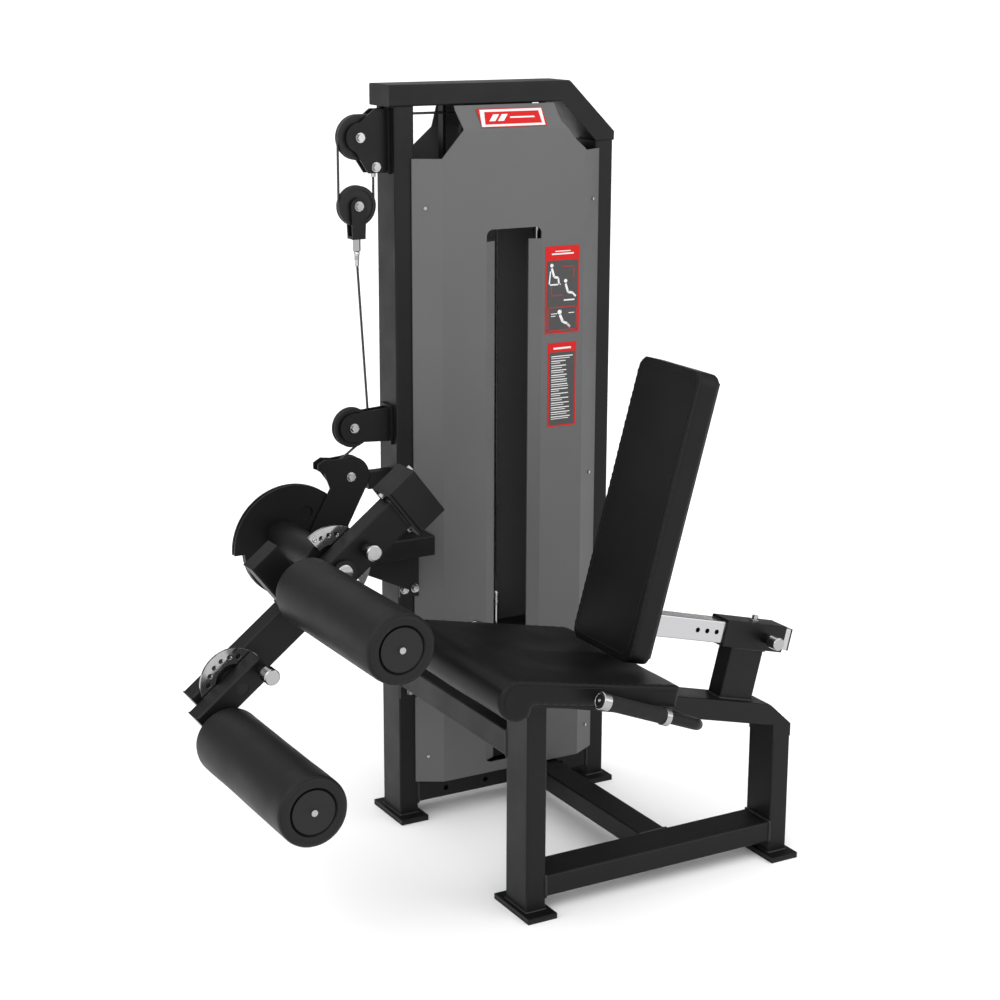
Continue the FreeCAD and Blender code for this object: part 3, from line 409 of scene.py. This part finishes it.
def lathe(name, centre, axis, prof, mat, body, sides=64, wobble=None):
    """prof is a list of (distance along axis, radius); both ends close on the axis"""
    axis = Vector(axis).normalized()
    helper = Vector((0, 0, 1)) if abs(axis.z) < 0.9 else Vector((1, 0, 0))
    s = axis.cross(helper).normalized()
    u = s.cross(axis).normalized()
    verts, faces = [], []
    for i, (t, r) in enumerate(prof):
        for k in range(sides):
            a = 2 * math.pi * k / sides
            rr = r + (wobble(t, a) if wobble else 0)
            verts.append(Vector(centre) + axis * t + (s * math.cos(a) + u * math.sin(a)) * rr)
    for i in range(len(prof) - 1):
        for k in range(sides):
            m = (k + 1) % sides
            faces.append((i * sides + k, (i + 1) * sides + k, (i + 1) * sides + m, i * sides + m))
    faces.append(tuple(range(sides)))
    faces.append(tuple(reversed(range((len(prof) - 1) * sides, len(prof) * sides))))
    o = make(name, verts, faces, mat, body)
    bm = bmesh.new()
    bm.from_mesh(o.data)
    bmesh.ops.recalc_face_normals(bm, faces=bm.faces)
    bm.to_mesh(o.data)
    bm.free()
    for q in list(o.data.polygons)[-2:]:
        q.use_smooth = False
    return o


def applied(o):
    """the object's mesh with its modifiers applied"""
    bpy.context.view_layer.update()
    deps = bpy.context.evaluated_depsgraph_get()
    me = bpy.data.meshes.new_from_object(o.evaluated_get(deps))
    o.modifiers.clear()
    o.data = me
    return o


def soft_from(node, name, voxel, rounds, mat, shape=None):
    """an upholstered pad from its CAD block: fine mesh, rounded edges, then a gentle shape"""
    o = bpy.data.objects.new(name, nodes[node].data.copy())
    bpy.context.scene.collection.objects.link(o)
    r = o.modifiers.new("r", "REMESH")
    r.mode = "VOXEL"
    r.voxel_size = voxel
    s = o.modifiers.new("s", "SMOOTH")
    s.factor = 0.5
    s.iterations = rounds
    applied(o)
    if shape:
        me = o.data
        for v in me.vertices:
            v.co = v.co + shape(v.co.copy(), v.normal.copy())
    me = o.data
    me.materials.clear()
    me.materials.append(mat)
    me.polygons.foreach_set("material_index", [0] * len(me.polygons))
    me.polygons.foreach_set("use_smooth", [True] * len(me.polygons))
    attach(o, body_of[node])
    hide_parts(node)
    return o


# ------------------------------------------------------------------ seat cushion
seat_hyp = math.hypot(1, SEAT_SLOPE)
SEAT_ALONG = Vector((1 / seat_hyp, 0, -SEAT_SLOPE / seat_hyp))
SEAT_UP = Vector((SEAT_SLOPE / seat_hyp, 0, 1 / seat_hyp))
seat_lo, seat_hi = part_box("seat_cushion")
seat_y = (seat_lo.y + seat_hi.y) / 2
seat_half = (seat_hi.y - seat_lo.y) / 2


def seat_shape(co, n):
    """two shallow hollows for the thighs on a light crown"""
    across = (co.y - seat_y) / seat_half
    along = (co - P(235, SEAT_MID_Y, 490.3)).dot(SEAT_ALONG) / (360 * K)
    up = n.dot(SEAT_UP)
    out = n * (noise.noise(co * 9) * 0.0012)
    if up > 0.5:
        dish = -0.006 * math.exp(-((abs(across) - 0.36) / 0.3) ** 2) * math.exp(-((along + 0.45) / 0.4) ** 2)
        crown = 0.0035 * max(0.0, 1 - across ** 2)
        out += SEAT_UP * (dish + crown - 0.003)
    return out


seat = soft_from("seat_cushion", "seat_pad", 0.0042, 7, vinyl, seat_shape)


def surface_point(obj, origin, way):
    """the first point and normal that a ray from origin meets"""
    ok, hit, nrm, _ = obj.ray_cast(origin, way)
    return (hit, nrm) if ok else (None, None)


def seam_ring(name, obj, path, way, body, r, lift=0.0002):
    """a sewn seam laid on a pad: every point of the path is dropped on the surface along way"""
    pts = []
    for q in path:
        hit, nrm = surface_point(obj, q - way * 0.12, way)
        if hit is not None:
            pts.append(hit + nrm * lift)
    if len(pts) < 8:
        print("seam", name, "found few points", len(pts))
        return None
    return tube(name, pts, r, thread_mat, body, sides=8, closed=True)


def rounded_rect(centre, u, v, hu, hv, r, n=10):
    """evenly spaced points round a rectangle of half sizes hu and hv with corners of radius r"""
    pts = []
    iu, iv = hu - r, hv - r
    for cu, cv, a0 in ((iu, iv, 0), (-iu, iv, 90), (-iu, -iv, 180), (iu, -iv, 270)):
        for i in range(n + 1):
            a = math.radians(a0 + 90 * i / n)
            pts.append(centre + u * (cu + r * math.cos(a)) + v * (cv + r * math.sin(a)))
    out = []
    for i, q in enumerate(pts):
        nx = pts[(i + 1) % len(pts)]
        steps = max(1, int((nx - q).length / 0.012))
        for s in range(steps):
            out.append(q.lerp(nx, s / steps))
    return out


# side seams of the seat: one along each end face near the top edge
for side, tag in ((-1, "near"), (1, "far")):
    y_face = seat_y + side * seat_half
    line = []
    for i in range(60):
        x = 232 - i * (232 + 100) / 59
        line.append(P(x, 0, 538.7 - SEAT_SLOPE * x - 13))
    for i in range(1, 26):
        a = math.radians(76 + i * 165 / 25)
        line.append(P(-113.3 + 29 * math.cos(a), 0, 520.2 + 29 * math.sin(a)))
    pts = []
    for q in line:
        q.y = y_face + side * 0.05
        hit, nrm = surface_point(seat, q, Vector((0, -side, 0)))
        if hit is not None:
            pts.append(hit + nrm * 0.0002)
    tube("seat_seam_" + tag, pts, 0.0012, thread_mat, "frame", sides=8)

# ------------------------------------------------------------------ backrest cushion
back_hyp = math.hypot(0.265, 0.964)
BACK_UP = Vector((0.265 / back_hyp, 0, 0.964 / back_hyp))
BACK_REAR = Vector((0.964 / back_hyp, 0, -0.265 / back_hyp))
back_mid = P(180.2, SEAT_MID_Y, 508.7) + BACK_UP * (569 / 2 * K)


def back_shape(co, n):
    """a light crown on the front face"""
    d = co - back_mid
    a, c = d.dot(BACK_UP) / (284 * K), d.y / (105 * K)
    out = n * (noise.noise(co * 8) * 0.001)
    if n.dot(-BACK_REAR) > 0.5:
        out += -BACK_REAR * (0.004 * max(0, 1 - c * c) * max(0, 1 - a ** 4) - 0.003)
    return out


back = soft_from("backrest_cushion", "backrest_pad", 0.0042, 5, vinyl, back_shape)
back_edge = rounded_rect(back_mid - BACK_REAR * 0.02, BACK_UP, Vector((0, 1, 0)), 271 * K, 92 * K, 18 * K)
seam_ring("backrest_seam", back, back_edge, BACK_REAR, "backrest", r=0.0012)


# ------------------------------------------------------------------ foam rollers
def roller_wobble(t, a):
    return noise.noise(Vector((math.cos(a) * 2.2, math.sin(a) * 2.2, t * 14))) * 0.0007


def roller(tag, cx, cz, y_in, body):
    """a foam sleeve with rounded ends, a recess at its outer end and two seams"""
    end = P(cx, ROLLER_Y_OUT, cz)
    radius = 65 * K
    length = (y_in - ROLLER_Y_OUT) * K
    edge = 0.011
    prof = [(0.006, 25.2 * K), (0.0078, 37 * K), (0.0078, 43.7 * K), (0.0015, 44.3 * K), (0.0003, 46 * K)]
    quarter = [math.radians(90 * i / 8) for i in range(9)]
    prof += [(edge - edge * math.cos(a), radius - edge + edge * math.sin(a)) for a in quarter]
    for i in range(1, 24):
        prof.append((edge + (length - 2 * edge) * i / 24, radius - 0.0006 * math.sin(math.pi * i / 24)))
    prof += [(length - edge + edge * math.sin(a), radius - edge + edge * math.cos(a)) for a in quarter]
    prof += [(length - 0.0004, 30 * K), (length - 0.003, 26 * K)]
    o = lathe(tag + "_roller_pad", end, (0, 1, 0), prof, sleeve_foam, body, sides=96, wobble=roller_wobble)
    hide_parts(tag + "_roller_foam")
    ring = radius - 0.0035
    turn = [2 * math.pi * i / 96 for i in range(96)]
    seam = [end + Vector((math.cos(a) * ring, 0.0032, math.sin(a) * ring)) for a in turn]
    tube(tag + "_roller_seam", seam, 0.0009, thread_mat, body, sides=8, closed=True)
    skin = radius - 0.0003
    steps = [0.012 + (length - 0.024) * i / 59 for i in range(60)]
    long_seam = [end + Vector((-0.62 * skin, y, -0.785 * skin)) for y in steps]
    tube(tag + "_roller_long_seam", long_seam, 0.0008, thread_mat, body, sides=8)


roller("upper", -347.0, 655.0, -309.0, "upper_roller")
roller("lower", -517.0, 392.0, -318.0, "lower_roller")


# ------------------------------------------------------------------ handle grips
GRIP_STEPS = 130


def grip_ribs(i, a):
    t = i / GRIP_STEPS
    flare = 1.0 if t < 0.03 or t > 0.97 else 0.955
    rib = 0.012 * math.sin(i * 2 * math.pi / 5) if 0.08 < t < 0.92 else 0
    return flare + rib * (0.6 + 0.4 * math.cos(8 * a))


def grip(y):
    """verts and faces of one rubber sleeve, which starts 12 mm behind the end of its bar"""
    way = Vector((223, 0, -89)).normalized()
    start = Vector((GRIP_X, y, GRIP_Z)) + way * 12
    pts = [P(*(start + way * t)) for t in range(GRIP_STEPS + 1)]
    return tube_mesh(pts, 15.4 * K, 32, False, grip_ribs)


grip_verts, grip_faces = [], []
for y in GRIP_YS:
    v, f = grip(y)
    base = len(grip_verts)
    grip_verts += v
    grip_faces += [tuple(i + base for i in q) for q in f]
sleeves = make("handle_grip_sleeves", grip_verts, grip_faces, rubber, "frame")
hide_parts("handle_grips")


# ------------------------------------------------------------------ cables that move
def cable_lay(i, a):
    return 1 + 0.02 * math.cos(3 * a + i * 0.9)


def straight_run(name, a, b, node=None):
    """a straight cable run from a to b with the faint lay of its strands"""
    n = max(12, int((b - a).length / 0.006))
    pts = [a.lerp(b, i / n) for i in range(n + 1)]
    v, f = tube_mesh(pts, 2.5 * K, 14, False, cable_lay)
    o = make(name, v, f, cable_mat)
    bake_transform(o)
    if node:
        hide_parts(node)
    return o


TOP_Z = 1457.0
FLOAT_Z = 1322.0
CLEVIS = (-66.5, 1213.5)
stack_end = P(256.5, CABLE_Y, STEM_TOP)
straight_run("cable_to_stack", P(256.5, CABLE_Y, TOP_Z), stack_end, "cable_stack_run")
straight_run("cable_down_to_pulley", P(-105, CABLE_Y, TOP_Z), P(-105, CABLE_Y, FLOAT_Z),
             "cable_float_runs")
straight_run("cable_up_to_anchor", P(-28, CABLE_Y, 1377.7), P(-28, CABLE_Y, FLOAT_Z))


def tangent(c1, r1, s1, c2, r2, s2):
    """the two ends of the line that touches two circles, s1 and s2 saying on which sides"""
    dx, dz = c2[0] - c1[0], c2[1] - c1[1]
    k = r2 * s2 - r1 * s1
    th = math.atan2(dz, dx) - math.asin(k / math.hypot(dx, dz))
    ux, uz = math.sin(th), -math.cos(th)
    return (c1[0] + r1 * s1 * ux, c1[1] + r1 * s1 * uz), (c2[0] + r2 * s2 * ux, c2[1] + r2 * s2 * uz)


touch = tangent(CLEVIS, 0, 1, (-84.0, 871.0), 39.0, -1)[1]
straight_run("cable_to_lever", P(touch[0], CABLE_Y, touch[1]), P(CLEVIS[0], CABLE_Y, CLEVIS[1]),
             "cable_lever_run")

# swaged sleeves where cables end
lathe("swage_stack", P(256.5, CABLE_Y, STEM_TOP - 6), (0, 0, 1),
      [(0, 0.0062), (0.002, 0.0068), (0.03, 0.0068), (0.034, 0.0045)], zinc, "stack", 24)
lathe("swage_clevis", P(CLEVIS[0], CABLE_Y, 1200), (0, 0, 1),
      [(0, 0.0038), (0.003, 0.0046), (0.022, 0.0046), (0.026, 0.0062), (0.034, 0.0062)], zinc, "floating", 24)


# ------------------------------------------------------------------ printed plates (generic marks only)
def quads(name, rects, mat, at, body="frame"):
    """flat outlines given in the plane of a plate, laid on it by at(x, z)"""
    verts, faces = [], []
    for ring in rects:
        b = len(verts)
        verts += [at(*q) for q in ring]
        faces.append(tuple(range(b, b + len(ring))))
    return make(name, verts, faces, mat, body, smooth=False)


def rect(x0, z0, x1, z1):
    return [(x0, z0), (x1, z0), (x1, z1), (x0, z1)]


def disc(x, z, r, n=20):
    return [(x + r * math.cos(2 * math.pi * i / n), z + r * math.sin(2 * math.pi * i / n)) for i in range(n)]


def bar(x0, z0, x1, z1, w):
    d = Vector((x1 - x0, z1 - z0)).normalized()
    n = Vector((-d.y, d.x)) * (w / 2)
    return [(x0 - n.x, z0 - n.y), (x1 - n.x, z1 - n.y), (x1 + n.x, z1 + n.y), (x0 + n.x, z0 + n.y)]


def frame_of(x0, z0, x1, z1, w):
    return [rect(x0, z0, x1, z0 + w), rect(x0, z1 - w, x1, z1), rect(x0, z0, x0 + w, z1),
            rect(x1 - w, z0, x1, z1)]


def flat(depth):
    def at(x, z):
        return P(x, SIGN_Y - depth, z)
    return at


quads("sign_body", [rect(334, 1043, 411, 1194), rect(342, 843, 405, 1000)], dark_mat, flat(0.15))
marks = [rect(346, 1206, 399, 1209), rect(354, 1212, 391, 1214)]
marks += [bar(346, 1178, 352, 1160, 5), bar(352, 1160, 362, 1157, 5), bar(362, 1157, 364, 1142, 4),
          disc(346, 1184, 4), rect(342, 1142, 368, 1145), bar(340, 1145, 343, 1172, 3)]
marks += [bar(380, 1144, 386, 1126, 5), bar(386, 1126, 397, 1124, 5), bar(397, 1124, 405, 1116, 4),
          disc(380, 1150, 4), rect(376, 1108, 402, 1111)]
marks += [disc(366, 1085, 5), bar(367, 1079, 374, 1064, 6), bar(374, 1064, 384, 1060, 5),
          bar(384, 1060, 392, 1052, 4), bar(345, 1082, 360, 1082, 1.6), bar(345, 1077, 356, 1077, 1.6),
          bar(388, 1082, 402, 1082, 1.6)]
for i in range(14):
    z = 990 - i * 10
    marks.append(rect(347, z, 400 - (i * 37 % 19), z + 2.0))
    marks.append(rect(347, z - 4, 392 - (i * 23 % 27), z - 2.6))
marks.append(rect(352, 1006, 395, 1010))
quads("sign_marks", marks, pale_mat, flat(0.3))
lines = frame_of(337, 1046, 408, 1096, 1.4) + [rect(372, 1180, 400, 1181.2), rect(399, 1156, 400.2, 1181),
                                                rect(345, 1120, 372, 1121.2), rect(345, 1120, 346.2, 1140)]
lines += [bar(384, 1060, 392, 1052, 1.2)]
quads("sign_lines", lines, red_mat, flat(0.34))


def slanted(depth):
    """the same on the slanted top strip of the panel, which holds the badge"""
    def at(x, t):
        f = (t - 1472) / (1508 - 1472)
        return P(x, -31.2 + 16.6 * f - 0.4 - depth, 1472.3 + 36 * f)
    return at


quads("badge_plate", [[(181, 1473.5), (329, 1473.5), (327, 1506.5), (183, 1506.5)]], silver_mat, slanted(0.5))
quads("badge_field", [[(190, 1478), (322, 1478), (319, 1502), (193, 1502)]], red_mat, slanted(0.8))
badge = [[(x, 1484), (x + 14, 1484), (x + 26, 1497), (x + 12, 1497)] for x in (200, 220)]
badge.append([(250, 1489), (308, 1489), (306, 1492), (250, 1492)])
quads("badge_marks", badge, pale_mat, slanted(1.0))


# ------------------------------------------------------------------ welds
def weld_ripple(i, a):
    return 1 + 0.16 * math.sin(i * 2.1) + 0.06 * math.sin(i * 0.7 + a)


def bead(name, corners, r=0.0032, body="frame"):
    """a rippled weld round a ring of corners"""
    pts = []
    for i, c in enumerate(corners):
        nx = corners[(i + 1) % len(corners)]
        n = max(2, int((nx - c).length / 0.0035))
        pts += [c.lerp(nx, k / n) for k in range(n)]
    return tube(name, pts, r, weld_mat, body, sides=8, closed=True, profile=weld_ripple)


def ring_x(x, y0, y1, z0, z1):
    return [P(x, y0, z0), P(x, y1, z0), P(x, y1, z1), P(x, y0, z1)]


def ring_y(y, x0, x1, z0, z1):
    return [P(x0, y, z0), P(x1, y, z0), P(x1, y, z1), P(x0, y, z1)]


def ring_z(z, x0, x1, y0, y1):
    return [P(x0, y0, z), P(x1, y0, z), P(x1, y1, z), P(x0, y1, z)]


bead("weld_rail_front", ring_x(43.5, -540, -458, 36, 80))
bead("weld_rail_rear", ring_x(580, -540, -458, 36, 80))
bead("weld_cross_low", ring_y(-458, 314, 377, 36, 79))
bead("weld_cross_low_end", ring_y(-6, 314, 377, 36, 79))
bead("weld_cross_up", ring_y(-458, 0.5, 43, 308, 362))
bead("weld_cross_up_end", ring_y(-6, 0.5, 43, 308, 362))
for i, (x, y) in enumerate(((21.75, 41), (491, 41), (21.75, -499), (601.75, -499))):
    bead("weld_foot_%d" % i, ring_z(11.3, x - 21.75, x + 21.75, y - 41, y + 41), 0.0026)
bead("weld_base_left", ring_x(43.5, 0, 82, 34, 79))
bead("weld_base_right", ring_x(469.3, 0, 82, 34, 79))
for name, up in (("weld_post_base", 0), ("weld_post_top", 106.3)):
    bead(name, [rail_point(-41, up, -520.7), rail_point(41, up, -520.7), rail_point(41, up, -477.3),
                rail_point(-41, up, -477.3)])
arm_c, arm_s = math.cos(math.radians(ARM_DEG)), math.sin(math.radians(ARM_DEG))


def arm_at(a, p, y):
    """a point on the arm: a along it from the main axle, p square to it"""
    return P(AXIS_X + a * arm_c - p * arm_s, y, AXIS_Z + a * arm_s + p * arm_c)


for name, (a0, p0), (a1, p1) in (("weld_cross_post", (-129, 35.5), (-63, 35.5)),
                                 ("weld_arm_flange", (158, -35.5), (158, 35.5))):
    bead(name, [arm_at(a0, p0, ARM_Y0), arm_at(a1, p1, ARM_Y0), arm_at(a1, p1, ARM_Y1),
                arm_at(a0, p0, ARM_Y1)], body="arm")


# ------------------------------------------------------------------ small parts
def socket(name, centre, axis, r, body, mat=zinc):
    """a button head with a hex socket"""
    prof = [(0, 1), (0.25, 0.97), (0.5, 0.75), (0.58, 0.5), (0.3, 0.46), (0.28, 0.05)]
    return lathe(name, centre, axis, [(r * t, r * q) for t, q in prof], mat, body, 24)


for i, y in enumerate(GRIP_YS):
    face = P(GRIP_X, y, GRIP_Z) - grip_way * 4 * K
    lathe("grip_end_ring_%d" % i, face, -grip_way, [(-0.0006, 0.0136), (0.0008, 0.0142), (0.0014, 0.016),
                                                    (0.0006, 0.0178), (-0.0008, 0.018)], chrome, "frame", 40)
    lathe("grip_end_disc_%d" % i, face, -grip_way, [(0, 0.0138), (0.0012, 0.0136), (0.0016, 0.012)],
          plastic, "frame", 40)
    socket("grip_end_screw_%d" % i, face - grip_way * 0.0014, -grip_way, 0.0036, "frame", chrome)
socket("ankle_screw", P(-527.7, -266, 465.9), (0, -1, 0), 0.0055, "arm")
socket("start_screw", P(-286.6, -215.9, 720.5), (0, -1, 0), 0.0048, "cam")
lathe("axle_end_disc", P(AXIS_X, -270, AXIS_Z), (0, -1, 0), [(0, 0.0175), (0.0012, 0.017), (0.0018, 0.0155),
                                                       (0.0018, 0.0004)], chrome, "arm", 40)

# ------------------------------------------------------------------ stage, light, camera
FLOOR_HALF = 400
FLOOR_Z = -0.0004
floor_mat, p = new_mat("pale_floor", (0.92, 0.92, 0.92), 0.7, spec=0.1)
floor_corners = [(x * FLOOR_HALF, y * FLOOR_HALF, FLOOR_Z) for x, y in ((-1, -1), (1, -1), (1, 1), (-1, 1))]
make("floor", floor_corners, [(0, 1, 2, 3)], floor_mat, smooth=False)

# The surroundings shine from the front left and fade to the other side; the camera itself sees plain white.
world = bpy.data.worlds.new("studio")
bpy.context.scene.world = world
world.use_nodes = True
world.node_tree.nodes["Background"].inputs["Color"].default_value = (1, 1, 1, 1)
wt = world.node_tree
way = wt.nodes.new("ShaderNodeTexCoord")
dot = wt.nodes.new("ShaderNodeVectorMath")
dot.operation = "DOT_PRODUCT"
dot.inputs[1].default_value = (-0.45, -0.62, 0.64)
ramp = wt.nodes.new("ShaderNodeMapRange")
ramp.interpolation_type = "SMOOTHSTEP"
ramp.inputs["From Min"].default_value = -0.35
ramp.inputs["From Max"].default_value = 0.45
ramp.inputs["To Min"].default_value = 0.12
ramp.inputs["To Max"].default_value = 1.75
wt.links.new(way.outputs["Generated"], dot.inputs[0])
wt.links.new(dot.outputs["Value"], ramp.inputs["Value"])
path = wt.nodes.new("ShaderNodeLightPath")
seen = wt.nodes.new("ShaderNodeMath")
seen.operation = "MAXIMUM"
wt.links.new(ramp.outputs["Result"], seen.inputs[0])
wt.links.new(path.outputs["Is Camera Ray"], seen.inputs[1])
wt.links.new(seen.outputs["Value"], wt.nodes["Background"].inputs["Strength"])


def area(name, loc, target, size, power):
    d = bpy.data.lights.new(name, "AREA")
    d.shape = "RECTANGLE"
    d.size = size[0]
    d.size_y = size[1]
    d.energy = power
    o = bpy.data.objects.new(name, d)
    bpy.context.scene.collection.objects.link(o)
    o.location = loc
    o.rotation_mode = "QUATERNION"
    o.rotation_quaternion = (Vector(target) - Vector(loc)).to_track_quat("-Z", "Y")


area("key", (-3.2, -2.6, 3.2), (0, 0, 0.7), (2.2, 2.2), 60)
area("fill", (2.6, -3.4, 2.2), (0, 0, 0.7), (2.5, 2.5), 25)
area("rim", (0.5, 3.0, 3.0), (0, 0, 0.9), (3, 1.5), 12)

cam_data = bpy.data.cameras.new("camera")
cam_data.lens = 73.49
cam_data.sensor_width = 36.0
cam_data.clip_start = 0.1
cam_data.clip_end = 1000
cam = bpy.data.objects.new("camera", cam_data)
bpy.context.scene.collection.objects.link(cam)
cam.location = P(-1830.71, -3667.43, 1783.24)
yaw, pitch, roll = math.radians(29.49), math.radians(14.61), math.radians(-0.22)
fwd = Vector((math.sin(yaw) * math.cos(pitch), math.cos(yaw) * math.cos(pitch), -math.sin(pitch)))
cam.rotation_mode = "QUATERNION"
cam.rotation_quaternion = fwd.to_track_quat("-Z", "Y") @ Matrix.Rotation(-roll, 3, "Z").to_quaternion()
bpy.context.scene.camera = cam
bpy.context.scene.view_settings.view_transform = "Standard"
